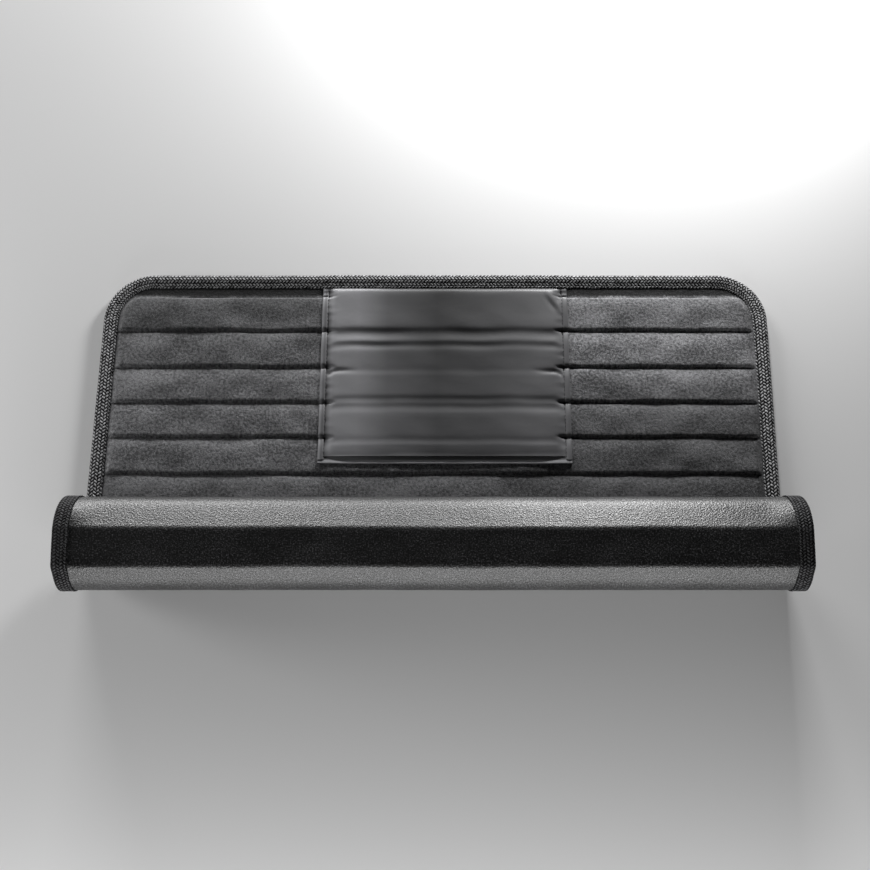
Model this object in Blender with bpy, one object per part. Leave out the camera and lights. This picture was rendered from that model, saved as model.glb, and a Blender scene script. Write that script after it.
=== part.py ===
# Kayak roof pad: a quilted mat, bound with woven tape, that lies flat behind and is rolled up in front.
# Metres, +Z up. The width runs along X, the far edge lies towards +Y and the roll towards -Y.
# The mat is described flat, by x across it, s along it from the far edge, and h above its underside.
import math

import bmesh
import bpy
from mathutils import Vector

# Outline of the mat before it is rolled
PAD_WIDTH = 0.750
PAD_LENGTH = 0.940
CORNER_RADIUS = 0.056

# Roll
FLAT_LENGTH = 0.3207      # from the far edge to the line where the mat starts to curl up
ROLL_HEIGHT = 0.0996
TURN_GAP = 0.0006         # between one turn and the next
LIFT_LENGTH = 0.030       # before it curls up, the underside rises off the ground over this

# Layers, from the underside up
LAYER_GAP = 0.0003
BACKING_THICKNESS = 0.0012
FOAM_THICKNESS = 0.0050   # at the crown of a channel
FOAM_AT_SEAM = 0.0012
FOAM_AT_EDGE = 0.0010
FACE_THICKNESS = 0.0010

# Sewn channels
CHANNEL_COUNT = 21
FIRST_SEAM = 0.026        # from either end of the mat
CHANNEL_STEPS = (0.0, 0.08, 0.25, 0.50, 0.75, 0.92)   # sections of a channel, as shares of it
PADDING_FALL = 0.014      # the padding comes down to the tape over this width

# Woven tape folded round the edge
TAPE_THICKNESS = 0.0010
TAPE_WIDTH = 0.016

# Nylon patch, sewn on the face with its top under the tape
PATCH_WIDTH = 0.277
PATCH_OFFSET = 0.0125
PATCH_THICKNESS = 0.0007
PATCH_FOLD = 0.0012       # thickness at its sides, where it is folded under
PATCH_SEWN = 0.0004       # and where a seam pulls it down
PATCH_START = 0.003
PATCH_END = 0.2242
PATCH_SEAM = 0.0068       # from its sides to the seam that holds them
PATCH_SIDE = 0.012        # and to where it lies free
PATCH_DIP = 0.0012        # how far it sinks into a valley between channels
HEM_WIDTH = 0.0034
HEM_THICKNESS = 0.0015
HEM_GROOVE = 0.0045       # width of the sunk strip above the hem
TAPE_RISE = 0.003         # the tape climbs over the side of the patch within this

# Sizes that follow from those above
TAPE_INSIDE = TAPE_THICKNESS + LAYER_GAP
PADDING_START = TAPE_WIDTH + LAYER_GAP
PADDING_FULL = PADDING_START + PADDING_FALL
FACE_CROWN = BACKING_THICKNESS + FOAM_THICKNESS + FACE_THICKNESS + 2 * LAYER_GAP
FACE_VALLEY = BACKING_THICKNESS + FOAM_AT_SEAM + FACE_THICKNESS + 2 * LAYER_GAP
FACE_EDGE = TAPE_INSIDE + BACKING_THICKNESS + FOAM_AT_EDGE + FACE_THICKNESS + 2 * LAYER_GAP
TAPE_HEIGHT = FACE_EDGE + LAYER_GAP + TAPE_THICKNESS
TUCK_RISE = PATCH_THICKNESS + LAYER_GAP
PITCH = max(FACE_CROWN, TAPE_HEIGHT) + TURN_GAP
SHRINK = PITCH / math.tau           # loss of radius for each radian that the mat turns
START_RADIUS = (ROLL_HEIGHT + PITCH / 2) / 2
LIFT_START = FLAT_LENGTH - LIFT_LENGTH
CHANNEL_PITCH = (PAD_LENGTH - 2 * FIRST_SEAM) / CHANNEL_COUNT
PATCH_LEFT = PATCH_OFFSET - PATCH_WIDTH / 2
PATCH_RIGHT = PATCH_OFFSET + PATCH_WIDTH / 2

CORNER_STEPS = (0.002, 0.0075)      # sections of a round corner nearer the end than the padding
CORNER_SEGMENTS = 9                 # of the tape round a corner
SAME_PLACE = 0.0004                 # a crease this near a corner point needs no cut of its own
MERGE = 1e-6


# Distance from the nearer end of the mat
def from_end(s):
    return min(s, PAD_LENGTH - s)


# Half the mat's width at s, for an outline that lies inset from the mat's own all round
def half_width(s, inset):
    reach = min(from_end(s), CORNER_RADIUS)
    square = (CORNER_RADIUS - inset) ** 2 - (CORNER_RADIUS - reach) ** 2
    return PAD_WIDTH / 2 - CORNER_RADIUS + math.sqrt(max(square, 0.0))


# Angle through which the mat has turned at s, and the radius of its underside there
def turn(s):
    length = max(s - FLAT_LENGTH, 0.0)
    angle = (START_RADIUS - math.sqrt(START_RADIUS ** 2 - 2 * SHRINK * length)) / SHRINK
    return angle, START_RADIUS - SHRINK * angle


# Places along the mat where every layer has a section: both ends, and the steps of each channel
def shared_stations():
    half = [*CORNER_STEPS, PADDING_START, (PADDING_START + FIRST_SEAM) / 2]
    seams = [FIRST_SEAM + CHANNEL_PITCH * i for i in range(CHANNEL_COUNT)]
    steps = [seam + CHANNEL_PITCH * share for seam in seams for share in CHANNEL_STEPS]
    return half + steps + [PAD_LENGTH - FIRST_SEAM] + [PAD_LENGTH - s for s in reversed(half)]


STATIONS = shared_stations()
CREASES = [0.0, *STATIONS, PAD_LENGTH]          # the rolled mat is flat between one and the next
ROLL_FRONT = max(turn(s)[1] * math.sin(turn(s)[0]) for s in STATIONS)
CURL_LINE = (ROLL_FRONT - FLAT_LENGTH) / 2      # y where the roll starts, with the mat centred on Y


# Where a point of the flat mat lies on the spiral
def on_spiral(x, s, h):
    if s <= FLAT_LENGTH:
        return Vector((x, CURL_LINE + FLAT_LENGTH - s, h))
    angle, radius = turn(s)
    y = CURL_LINE - (radius - h) * math.sin(angle)
    return Vector((x, y, START_RADIUS - (radius - h) * math.cos(angle)))


# Where it lies once the mat is rolled up, in straight facets from crease to crease, so that layers
# with other sections still lie parallel
def rolled(x, s, h):
    after = next(i for i, crease in enumerate(CREASES) if s <= crease + MERGE and i > 0)
    start, end = CREASES[after - 1], CREASES[after]
    share = (s - start) / (end - start)
    return on_spiral(x, start, h).lerp(on_spiral(x, end, h), share)


def smooth(t):
    t = min(max(t, 0.0), 1.0)
    return t * t * (3 - 2 * t)


# 0 over a seam and 1 at the crown of a channel, with the round shape of padding between two seams
def puff(s):
    reach = from_end(s)
    if reach < FIRST_SEAM:
        share = (reach - PADDING_START) / (FIRST_SEAM - PADDING_START)
        return 0.5 * math.sqrt(max(1 - (2 * share - 1) ** 2, 0.0))
    share = (s - FIRST_SEAM) / CHANNEL_PITCH % 1.0
    return math.sqrt(max(1 - (2 * share - 1) ** 2, 0.0))


# How far a point is out of the tape's grip, from 0 under the tape to 1 where the padding is full
def free(s, inset):
    along = smooth((from_end(s) - PADDING_START) / PADDING_FALL)
    return along * smooth((inset - PADDING_START) / PADDING_FALL)


# 1 where the mat sags onto the ground between its tapes, 0 in the roll, where the tapes hold it proud
def sag(s):
    return 1 - smooth((s - LIFT_START) / LIFT_LENGTH)


def backing_top(s, inset):
    return BACKING_THICKNESS + TAPE_INSIDE * (1 - sag(s) * free(s, inset))


def face_top(s, inset):
    valley = FACE_VALLEY + TAPE_INSIDE * (1 - sag(s))
    middle = valley + (FACE_CROWN - valley) * puff(s)
    return FACE_EDGE + (middle - FACE_EDGE) * free(s, inset)


# Merges and rolls up a mat that is described flat, by (x, s, h), and makes it an object
def roll_up(name, shape):
    for corner in shape.verts:
        corner.co = rolled(*corner.co)
    bmesh.ops.remove_doubles(shape, verts=shape.verts, dist=MERGE)
    bmesh.ops.recalc_face_normals(shape, faces=shape.faces)
    mesh = bpy.data.meshes.new(name)
    shape.to_mesh(mesh)
    shape.free()
    body = bpy.data.objects.new(name, mesh)
    bpy.context.scene.collection.objects.link(body)
    return body


# A closed body through one section per station. A section is a list of (x, h), the underside from
# left to right and then the top from right to left. Each quad starts at its outer corner, so that
# twisted quads of neighbouring layers are split the same way.
def loft(name, stations, section):
    shape = bmesh.new()
    rings = [[shape.verts.new((x, s, h)) for x, h in section(s)] for s in stations]
    for ring, after in zip(rings, rings[1:]):
        for i, corner in enumerate(ring):
            j = (i + 1) % len(ring)
            quad = (corner, after[i], after[j], ring[j])
            if abs(ring[j].co.x) > abs(corner.co.x):
                quad = quad[3:] + quad[:3]
            shape.faces.new(quad)
    shape.faces.new(rings[0])
    shape.faces.new(rings[-1][::-1])
    return roll_up(name, shape)


# Section of a layer: three points to each side, where the tape grips it, lets it go and it is free
def layer_section(under, over):
    insets = (TAPE_INSIDE, PADDING_START, PADDING_FULL)

    def section(s):
        right = [(half_width(s, inset), inset) for inset in insets]
        across = [(-x, inset) for x, inset in right] + right[::-1]
        low = [(x, under(s, inset)) for x, inset in across]
        return low + [(x, over(s, inset)) for x, inset in reversed(across)]

    return section


def layer_stations(start, kept):
    return [start, *kept, PAD_LENGTH - start]


def material(body, name, colour, roughness):
    made = bpy.data.materials.new(name)
    made.use_nodes = True
    shader = made.node_tree.nodes["Principled BSDF"]
    shader.inputs["Base Color"].default_value = (*colour, 1.0)
    shader.inputs["Roughness"].default_value = roughness
    shader.inputs["Metallic"].default_value = 0.0
    body.data.materials.append(made)


# The creases of the roll, from the last on the part that lies flat
def roll_creases():
    last_flat = max(s for s in STATIONS if s <= FLAT_LENGTH)
    return [s for s in STATIONS if s >= last_flat]


# Rubberised underside, which needs no sections between its far corners and where it lifts
def rubber_backing():
    past_corner = CORNER_RADIUS + CHANNEL_PITCH / 4
    kept = [s for s in STATIONS if s <= past_corner or s >= LIFT_START - CHANNEL_PITCH / 4]
    section = layer_section(lambda s, inset: backing_top(s, inset) - BACKING_THICKNESS, backing_top)
    body = loft("rubber_backing", layer_stations(TAPE_INSIDE, kept), section)
    material(body, "grained rubber", (0.020, 0.020, 0.021), 0.42)


def foam_padding():
    section = layer_section(
        lambda s, inset: backing_top(s, inset) + LAYER_GAP,
        lambda s, inset: face_top(s, inset) - FACE_THICKNESS - LAYER_GAP,
    )
    body = loft("foam_padding", layer_stations(TAPE_INSIDE, STATIONS), section)
    material(body, "foam", (0.10, 0.10, 0.11), 0.95)


def quilted_face():
    section = layer_section(lambda s, inset: face_top(s, inset) - FACE_THICKNESS, face_top)
    body = loft("quilted_face", layer_stations(TAPE_INSIDE, STATIONS), section)
    material(body, "brushed knit", (0.060, 0.060, 0.063), 0.95)


# The mat's outline at an inset, as (x, s), with points beside the patch where the tape climbs over it
def outline(inset):
    across = PAD_WIDTH / 2 - CORNER_RADIUS
    along = PAD_LENGTH - CORNER_RADIUS
    radius = CORNER_RADIUS - inset
    points = [(PATCH_LEFT - TAPE_RISE, inset), (PATCH_LEFT - LAYER_GAP, inset)]
    points += [(PATCH_RIGHT + LAYER_GAP, inset), (PATCH_RIGHT + TAPE_RISE, inset)]
    centres = ((across, CORNER_RADIUS), (across, along), (-across, along), (-across, CORNER_RADIUS))
    for quarter, (x, s) in enumerate(centres):
        for step in range(CORNER_SEGMENTS + 1):
            angle = (quarter + step / CORNER_SEGMENTS) * math.pi / 2
            points.append((x + radius * math.sin(angle), s - radius * math.cos(angle)))
    return points


# Tape folded round the whole edge: its section runs round the outline, is then creased where the
# layers are, and is rolled up with them
def edge_binding():
    inner_top = TAPE_HEIGHT - TAPE_THICKNESS
    section = (
        (0.0, 0.0),
        (0.0, TAPE_HEIGHT),
        (TAPE_WIDTH, TAPE_HEIGHT),
        (TAPE_WIDTH, inner_top),
        (TAPE_THICKNESS, inner_top),
        (TAPE_THICKNESS, TAPE_THICKNESS),
        (TAPE_WIDTH, TAPE_THICKNESS),
        (TAPE_WIDTH, 0.0),
    )
    shape = bmesh.new()
    loops = []
    for inset, h in section:
        loop = [shape.verts.new((x, s, h)) for x, s in outline(inset)]
        if h >= inner_top:
            for over_patch in loop[1:3]:
                over_patch.co.z += TUCK_RISE
        loops.append(loop)
    for i, loop in enumerate(loops):
        after = loops[(i + 1) % len(loops)]
        for j, corner in enumerate(loop):
            k = (j + 1) % len(loop)
            shape.faces.new((corner, loop[k], after[k], after[j]))
    for s in roll_creases():
        whole = [*shape.verts, *shape.edges, *shape.faces]
        crease = {"plane_co": (0, s, 0), "plane_no": (0, 1, 0)}
        bmesh.ops.bisect_plane(shape, geom=whole, dist=SAME_PLACE, **crease)
    body = roll_up("edge_binding", shape)
    material(body, "woven tape", (0.055, 0.055, 0.058), 0.85)


# Underside of the patch: sewn down on the face at its sides, stretched over the valleys between
def patch_under(s, inside):
    if s <= PADDING_START:
        return FACE_EDGE + LAYER_GAP
    on_face = face_top(s, PADDING_FULL) + LAYER_GAP
    if inside < PATCH_SIDE:
        return on_face
    return max(on_face, FACE_CROWN + LAYER_GAP - PATCH_DIP * (1 - puff(s)))


# Thickness of the patch: one layer, folded double at the sides and the hem and thin at the seams
def patch_thickness(s, inside):
    if s <= PADDING_START:
        return PATCH_THICKNESS
    if s >= PATCH_END - HEM_WIDTH:
        return HEM_THICKNESS
    if inside == PATCH_SEAM or PATCH_END - s < HEM_WIDTH + HEM_GROOVE * 0.9:
        return PATCH_SEWN
    return PATCH_THICKNESS if inside else PATCH_FOLD


def nylon_patch():
    hem = PATCH_END - HEM_WIDTH
    groove = hem - HEM_GROOVE
    stations = [PATCH_START, *[s for s in STATIONS if PADDING_START <= s < groove - HEM_WIDTH]]
    stations += [groove, hem - HEM_GROOVE * 0.8, hem - HEM_GROOVE * 0.2, hem, PATCH_END]
    insides = (0.0, PATCH_SEAM, PATCH_SIDE)

    def section(s):
        across = [(PATCH_LEFT + inside, inside) for inside in insides]
        across += [(PATCH_RIGHT - inside, inside) for inside in reversed(insides)]
        low = [(x, patch_under(s, inside)) for x, inside in across]
        high = [(x, patch_under(s, inside) + patch_thickness(s, inside)) for x, inside in across]
        return low + high[::-1]

    body = loft("nylon_patch", stations, section)
    material(body, "satin nylon", (0.075, 0.075, 0.080), 0.35)


for old in list(bpy.data.objects):
    bpy.data.objects.remove(old, do_unlink=True)

rubber_backing()
foam_padding()
quilted_face()
edge_binding()
nylon_patch()
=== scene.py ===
# Kayak roof pad: a quilted mat bound with woven tape. It lies flat behind and is rolled up in front,
# with its rubber side out. Metres, +Z up. Every layer is first laid out flat, by x across the mat,
# s along it from the far edge and h above its underside, and is then rolled up.
import math

import bpy
import numpy as np
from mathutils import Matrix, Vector


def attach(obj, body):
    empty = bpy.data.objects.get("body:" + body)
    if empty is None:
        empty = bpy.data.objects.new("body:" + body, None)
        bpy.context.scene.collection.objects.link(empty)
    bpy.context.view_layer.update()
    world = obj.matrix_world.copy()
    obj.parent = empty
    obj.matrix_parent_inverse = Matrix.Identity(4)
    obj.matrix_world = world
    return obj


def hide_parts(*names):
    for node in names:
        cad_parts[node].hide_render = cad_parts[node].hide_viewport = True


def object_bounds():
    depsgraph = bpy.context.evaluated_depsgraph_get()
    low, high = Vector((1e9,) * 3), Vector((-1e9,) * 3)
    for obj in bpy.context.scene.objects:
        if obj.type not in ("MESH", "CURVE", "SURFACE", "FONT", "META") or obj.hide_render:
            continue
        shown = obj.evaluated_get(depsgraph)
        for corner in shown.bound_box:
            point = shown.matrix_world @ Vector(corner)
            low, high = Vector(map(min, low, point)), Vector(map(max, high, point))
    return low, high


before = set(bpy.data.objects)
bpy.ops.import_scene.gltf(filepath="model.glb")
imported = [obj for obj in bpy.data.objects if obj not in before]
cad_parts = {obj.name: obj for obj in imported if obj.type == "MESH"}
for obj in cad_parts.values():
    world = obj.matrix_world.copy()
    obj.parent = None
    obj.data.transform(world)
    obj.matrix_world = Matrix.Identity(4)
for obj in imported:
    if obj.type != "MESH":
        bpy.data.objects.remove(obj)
cadBox = [list(corner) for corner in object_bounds()]
print("frame loaded,", len(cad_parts), "parts")

pad = {
    "width": cadBox[1][0] - cadBox[0][0],
    "length": 0.940,
    "cornerRadius": 0.056,
    "channels": 21,
    "firstSeam": 0.026,      # from either end
    "straySeams": (0.0015, 0.0018, 0.0033, 0.0025, 0.0005, 0.0),    # the first ones aren't quite even
    "crown": 0.0078,         # height of the face at the middle of a channel
    "freeCrown": 0.0088,     # where the roll doesn't press it
    "valley": 0.0050,        # at the foot of a channel
    "notch": 0.0010,         # how far the seam's thread cuts in below that
    "notchWidth": 0.0011,
    "dip": 0.0010,           # the face's hollow between the tape and the first channel,
    "dipPlace": 0.0040,      # deepest this far before the first seam
    "dipWidth": 0.0030,
    "steep": 0.0008,         # below a seam a channel rises steeply over this length,
    "swell": 0.0080,         # then slowly over this one, by
    "slowShare": 0.54,       # this much of its height
    "swellPower": 1.6,
    "shoulder": 0.0011,      # and it drops to its other seam over this length
    "nearFall": 0.05,        # share by which a channel is lower beside that seam
    "stray": 0.0005,         # how far a seam wanders from a straight line
    "edge": 0.0046,          # height of the face under the tape
    "tapeInside": 0.0013,    # the layers start this far inside the tape's outer edge
    "paddingStart": 0.0163,
    "paddingFall": 0.008,    # the padding comes down to the tape over this width
    "gap": 0.0003,
}
pad["pitch"] = (pad["length"] - 2 * pad["firstSeam"]) / pad["channels"]

roll = {
    "spread": 0.0050,        # how much wider the far right corner lies
    "flatLength": 0.3207,    # from the far edge to where the mat starts to curl up
    "height": 0.0996,
    "pitch": 0.0084,         # from one turn to the next
    "liftLength": 0.030,
    "shape": (               # turned angle in degrees, and how far the roll is drawn out or in there
        (0, 1.0), (50, 1.010), (98, 1.035), (113, 1.030), (141, 1.022), (189.5, 0.950),
        (234, 1.020), (247, 1.050), (262, 1.060), (278, 1.045), (300, 1.015), (330, 1.0), (360, 1.0)),
    "endShape": (            # the same within the last few centimetres, where the tape keeps it rounder
        (0, 1.0), (50, 1.010), (98, 1.040), (113, 1.040), (141, 1.024), (189.5, 0.957), (203, 0.995),
        (216, 1.032), (230, 1.055), (245, 1.065), (262, 1.062), (278, 1.045), (300, 1.015), (330, 1.0),
        (360, 1.0)),
    "endReach": 0.045,
    "folds": (141, 189.5),   # the two channel seams on top, where the mat is really folded
    "foldWidth": 1.6,        # degrees
    "softWidth": 5.0,
    "sharpReach": 12,        # it turns from sharp to soft over this many degrees beside them
    "wander": 0.8,           # how far a fold strays from a straight line, in degrees,
    "wanderFrom": 60,        # from this angle on
    "wanderOver": 50,
}
roll["startRadius"] = (roll["height"] + roll["pitch"] / 2) / 2
roll["shrink"] = roll["pitch"] / math.tau
roll["curlLine"] = cadBox[1][1] - roll["flatLength"]


# Laying out and rolling up


def smooth(t):
    t = np.clip(t, 0, 1)
    return t * t * (3 - 2 * t)


# Gentle unevenness, from -1 to 1: a few waves of random length and turn, the same ones each run
def ripples(seed, length, waves=9, spread=0.5):
    rng = np.random.default_rng(seed)
    turns = rng.uniform(0, math.tau, waves)
    lengths = length * rng.uniform(0.55, 1.9, waves)
    angles = rng.normal(0, spread, waves)
    sizes = rng.uniform(0.5, 1.0, waves)
    sizes = sizes / (1.6 * math.sqrt((sizes ** 2).sum()))

    def wave(x, s=0.0):
        total = 0.0
        for turn, each, angle, size in zip(turns, lengths, angles, sizes):
            along = x * math.cos(angle) + s * math.sin(angle)
            total = total + size * np.sin(math.tau * along / each + turn)
        return total

    return wave


def fromEnd(s):
    return np.minimum(s, pad["length"] - s)


# Where the mat's seams would be if they were quite even, where they are, and from one to the other
evenSeams = pad["firstSeam"] + pad["pitch"] * np.arange(pad["channels"] + 1)
seamPlaces = evenSeams + np.pad(pad["straySeams"], (0, pad["channels"] + 1 - len(pad["straySeams"])))


def evenPlace(s):
    return np.interp(s, [0, *seamPlaces, pad["length"]], [0, *evenSeams, pad["length"]])


# Half the mat's width at s, for an outline that lies inset from the mat's own
def halfWidth(s, inset):
    corner = pad["cornerRadius"]
    reach = np.minimum(fromEnd(s), corner)
    square = (corner - inset) ** 2 - (corner - reach) ** 2
    return pad["width"] / 2 - corner + np.sqrt(np.maximum(square, 0))


# How far the roll is drawn out of its spiral at each degree: straight from one place to the next,
# rounded off softly, and sharper at the folds
def rollTable(shape):
    step, tail = 0.5, 60     # degrees from place to place, and how many places each rounding takes in
    degrees = np.arange(0, 360, step)
    angles = np.radians([angle for angle, _ in shape])
    shares = np.array([share for _, share in shape])
    at = np.radians(degrees)
    after = np.clip(np.searchsorted(angles, at, side="right"), 1, len(angles) - 1)
    a, b, ra, rb = angles[after - 1], angles[after], shares[after - 1], shares[after]
    straight = ra * rb * np.sin(b - a) / (ra * np.sin(at - a) + rb * np.sin(b - at))

    def rounded(width):
        reach = np.arange(-tail, tail + 1) * step
        weights = np.exp(-0.5 * (reach / width) ** 2)
        turns = np.concatenate([straight[-tail:], straight, straight[:tail]])
        return np.convolve(turns, weights / weights.sum(), mode="valid")

    near = np.min([np.abs(degrees - fold) for fold in roll["folds"]], axis=0)
    sharp = smooth(1.6 - near / roll["sharpReach"])
    return degrees, rounded(roll["softWidth"]) * (1 - sharp) + rounded(roll["foldWidth"]) * sharp


rollDegrees, rollShares = rollTable(roll["shape"])
endShares = rollTable(roll["endShape"])[1]
foldWander = ripples(11, 0.16)


# Where points (x, s, h) of the flat mat lie once it is rolled up
def rollUp(points):
    x, s, h = np.moveaxis(np.asarray(points, float), -1, 0)
    x = x + roll["spread"] * smooth(2 * x / pad["width"]) * smooth(1 - s / roll["flatLength"])
    length = np.maximum(s - roll["flatLength"], 0)
    square = np.maximum(roll["startRadius"] ** 2 - 2 * roll["shrink"] * length, 0)
    angle = (roll["startRadius"] - np.sqrt(square)) / roll["shrink"]
    radius = roll["startRadius"] - roll["shrink"] * angle - h
    degrees = np.degrees(angle)
    fade = smooth((degrees - roll["wanderFrom"]) / roll["wanderOver"])
    turn = (degrees + roll["wander"] * foldWander(x) * fade) % 360
    middle, end = (np.interp(turn, rollDegrees, shares, period=360) for shares in (rollShares, endShares))
    atEnd = smooth(1 - (pad["width"] / 2 - np.abs(x)) / roll["endReach"])
    radius = radius * (middle + (end - middle) * atEnd)
    flatY = roll["curlLine"] + roll["flatLength"] - s
    y = np.where(length > 0, roll["curlLine"] - radius * np.sin(angle), flatY)
    z = np.where(length > 0, roll["startRadius"] - radius * np.cos(angle), h)
    return np.stack([x, y, z], -1)


# A mesh object from flat points, rolled up, with the flat place in metres as its UV map
def rolledObject(name, points, faces):
    points = np.asarray(points, float).reshape(-1, 3)
    mesh = bpy.data.meshes.new(name)
    mesh.from_pydata(rollUp(points).tolist(), [], faces)
    mesh.update()
    corners = np.zeros(len(mesh.loops), int)
    mesh.loops.foreach_get("vertex_index", corners)
    flat = points[corners, :2].astype(np.float32)
    mesh.uv_layers.new(name="flat").data.foreach_set("uv", flat.ravel())
    made = bpy.data.objects.new(name, mesh)
    bpy.context.scene.collection.objects.link(made)
    return made


def pickOnly(thing):
    bpy.ops.object.select_all(action="DESELECT")
    thing.select_set(True)
    bpy.context.view_layer.objects.active = thing


def turnOutwards(thing):
    pickOnly(thing)
    bpy.ops.object.mode_set(mode="EDIT")
    bpy.ops.mesh.select_all(action="SELECT")
    bpy.ops.mesh.normals_make_consistent(inside=False)
    bpy.ops.object.mode_set(mode="OBJECT")


# A closed layer between two grids of flat points with the same rows and columns
def layerBetween(name, under, over):
    rows, columns = over.shape[:2]
    top = np.arange(rows * columns).reshape(rows, columns)
    low = top + rows * columns
    quads = [
        np.stack([top[:-1, :-1], top[1:, :-1], top[1:, 1:], top[:-1, 1:]], -1).reshape(-1, 4),
        np.stack([low[:-1, :-1], low[:-1, 1:], low[1:, 1:], low[1:, :-1]], -1).reshape(-1, 4),
        np.stack([top[0, :-1], top[0, 1:], low[0, 1:], low[0, :-1]], -1),
        np.stack([top[-1, 1:], top[-1, :-1], low[-1, :-1], low[-1, 1:]], -1),
        np.stack([top[1:, 0], top[:-1, 0], low[:-1, 0], low[1:, 0]], -1),
        np.stack([top[:-1, -1], top[1:, -1], low[1:, -1], low[:-1, -1]], -1),
    ]
    points = np.concatenate([over.reshape(-1, 3), under.reshape(-1, 3)])
    made = rolledObject(name, points, np.concatenate(quads).tolist())
    pickOnly(made)
    bpy.ops.object.shade_smooth_by_angle(angle=math.radians(60))
    return made


# Rows at either end: round its corners, at the tape's inner edge and down into the first seam
endRows = (0.002, 0.0045, 0.0075, 0.012, pad["paddingStart"], 0.0185, 0.0212, 0.0238)


# Places along the mat: both ends, and each channel in steps that crowd together at its seams
def stationsAlong(fine, coarse, fineUntil, start):
    ends = [start] + [s for s in endRows if s >= start]
    places = list(ends)
    for seam, nextSeam in zip(seamPlaces[:-1], seamPlaces[1:]):
        steps = fine if seam < fineUntil else coarse
        turns = np.arange(steps) / steps * math.pi
        places += list(seam + (nextSeam - seam) * (1 - np.cos(turns)) / 2)
    places += [pad["length"] - pad["firstSeam"]] + [pad["length"] - s for s in reversed(ends)]
    return np.array(places)


# A layer's grid of places across and along the mat, in (x, s), with each one's distance inside the
# outline, which counts as 1 away from its sides
def gridOver(layer):
    stations = stationsAlong(layer["fineRows"], layer["coarseRows"], layer["fineUntil"], pad["tapeInside"])
    side = np.array(layer["insets"])
    middle = np.linspace(-1, 1, layer["columns"])[1:-1]
    left = np.stack([-halfWidth(stations, inset) for inset in side], 1)
    across = halfWidth(stations, side[-1])[:, None] * middle[None, :]
    x = np.concatenate([left, across, -left[:, ::-1]], 1)
    inset = np.concatenate([side, np.full(len(middle), 1.0), side[::-1]])
    return x, np.repeat(stations[:, None], x.shape[1], 1), np.repeat(inset[None, :], len(stations), 0)


# 1 where the mat sags onto the ground between its tapes, 0 in the roll
def sag(s):
    return 1 - smooth((s - roll["flatLength"] + roll["liftLength"]) / roll["liftLength"])


# How far a place is out of the tape's grip, from 0 to 1
def free(s, inset):
    along = smooth((fromEnd(s) - pad["paddingStart"]) / pad["paddingFall"])
    return along * smooth((inset - pad["paddingStart"]) / pad["paddingFall"])


seamWander = ripples(23, 0.12)
wanderStep = 1.7             # from one seam's stretch of those waves to the next one's


# How far a seam is off a straight line
def strayOf(x, seamNumber):
    return pad["stray"] * seamWander(x, seamNumber * wanderStep)


# Which channel a place is in and how far down it, from 0 at the far seam to 1 at the near one
def channelAt(x, s):
    even = (evenPlace(s) - pad["firstSeam"]) / pad["pitch"]
    down = even + strayOf(x, np.round(even)) / pad["pitch"]
    return np.floor(down), down - np.floor(down)


# 0 at the foot of a channel and 1 at its crown: up from its far seam, a nearly flat top and a steep
# drop at its near seam
def puff(x, s):
    channel, share = channelAt(x, s)
    fromSeam = share * pad["pitch"]
    rise = 1 - (1 - pad["slowShare"]) * np.exp(-fromSeam / pad["steep"])
    rise = rise - pad["slowShare"] * np.exp(-(fromSeam / pad["swell"]) ** pad["swellPower"])
    drop = 1 - np.exp(-(pad["pitch"] - fromSeam) / pad["shoulder"])
    padded = (channel >= 0) & (channel < pad["channels"])
    return np.where(padded, rise * drop * (1 - pad["nearFall"] * smooth((share - 0.5) / 0.5)), 0)


# How far the face is cut in at a seam
def notchAt(x, s):
    share = channelAt(x, s)[1]
    away = np.minimum(share, 1 - share) * pad["pitch"]
    return pad["notch"] * np.exp(-(away / pad["notchWidth"]) ** 2)


def faceTop(x, s, inset, uneven=0.0):
    valley = pad["valley"] + (pad["tapeInside"] - pad["gap"]) * (1 - sag(s))
    crown = pad["crown"] + (pad["freeCrown"] - pad["crown"]) * sag(s)
    middle = valley + (crown - valley + uneven) * puff(x, s) - notchAt(x, s)
    fromDip = (s - pad["firstSeam"] + pad["dipPlace"]) / pad["dipWidth"]
    middle = middle - pad["dip"] * np.exp(-fromDip ** 2)
    return pad["edge"] + (middle - pad["edge"]) * free(s, inset)


def backingTop(s, inset):
    return backing["thickness"] + pad["tapeInside"] * (1 - sag(s) * free(s, inset))


# Materials


# A node's output that sums and products can be written with
class Signal:
    def __init__(self, tree, socket):
        self.tree = tree
        self.socket = socket

    def maths(self, operation, *values):
        return addNode(self.tree, "ShaderNodeMath", {"operation": operation}, dict(enumerate(values)))

    def __add__(self, other):
        return self.maths("ADD", self, other)

    def __sub__(self, other):
        return self.maths("SUBTRACT", self, other)

    def __rsub__(self, other):
        return self.maths("SUBTRACT", other, self)

    def __mul__(self, other):
        return self.maths("MULTIPLY", self, other)

    def __truediv__(self, other):
        return self.maths("DIVIDE", self, other)

    def __rtruediv__(self, other):
        return self.maths("DIVIDE", other, self)

    def __pow__(self, other):
        return self.maths("POWER", self, other)

    __radd__ = __add__
    __rmul__ = __mul__


# Adds a node of a type, first with its settings, then with the values or links of its sockets
def addNode(tree, kind, settings=None, sockets=None, output=0):
    node = tree.nodes.new(kind)
    for name, value in (settings or {}).items():
        if name == "stops":
            while len(node.color_ramp.elements) < len(value):
                node.color_ramp.elements.new(0.5)
            for element, (place, level) in zip(node.color_ramp.elements, value):
                element.position = place
                element.color = (level, level, level, 1)
        else:
            setattr(node, name, value)
    for name, value in (sockets or {}).items():
        if isinstance(value, Signal):
            tree.links.new(value.socket, node.inputs[name])
        else:
            node.inputs[name].default_value = value
    return Signal(tree, node.outputs[output])


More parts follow.
